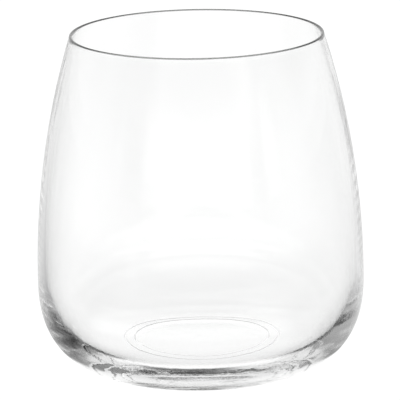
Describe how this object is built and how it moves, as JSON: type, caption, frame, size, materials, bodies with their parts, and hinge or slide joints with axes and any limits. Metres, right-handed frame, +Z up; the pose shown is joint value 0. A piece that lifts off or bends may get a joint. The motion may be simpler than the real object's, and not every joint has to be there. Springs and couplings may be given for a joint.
{
  "type": "drinking glass",
  "caption": "Clear stemless drinking glass with a fine rounded rim, a bowl widest near the bottom and a thicker base with a very shallow hollow beneath.",
  "frame": {"origin": "centre of the flat ring that the glass stands on, on the axis at table level", "axes": "+Z up along the axis of revolution, from the foot towards the rim; +X and +Y are any two square directions across the round glass"},
  "size_m": [0.087, 0.087, 0.09],
  "materials": {
    "clear_crystal": "fire-polished clear crystal, smooth and bright"
  },
  "bodies": {
    "root": {"tumbler": "clear_crystal"}
  },
  "joints": []
}
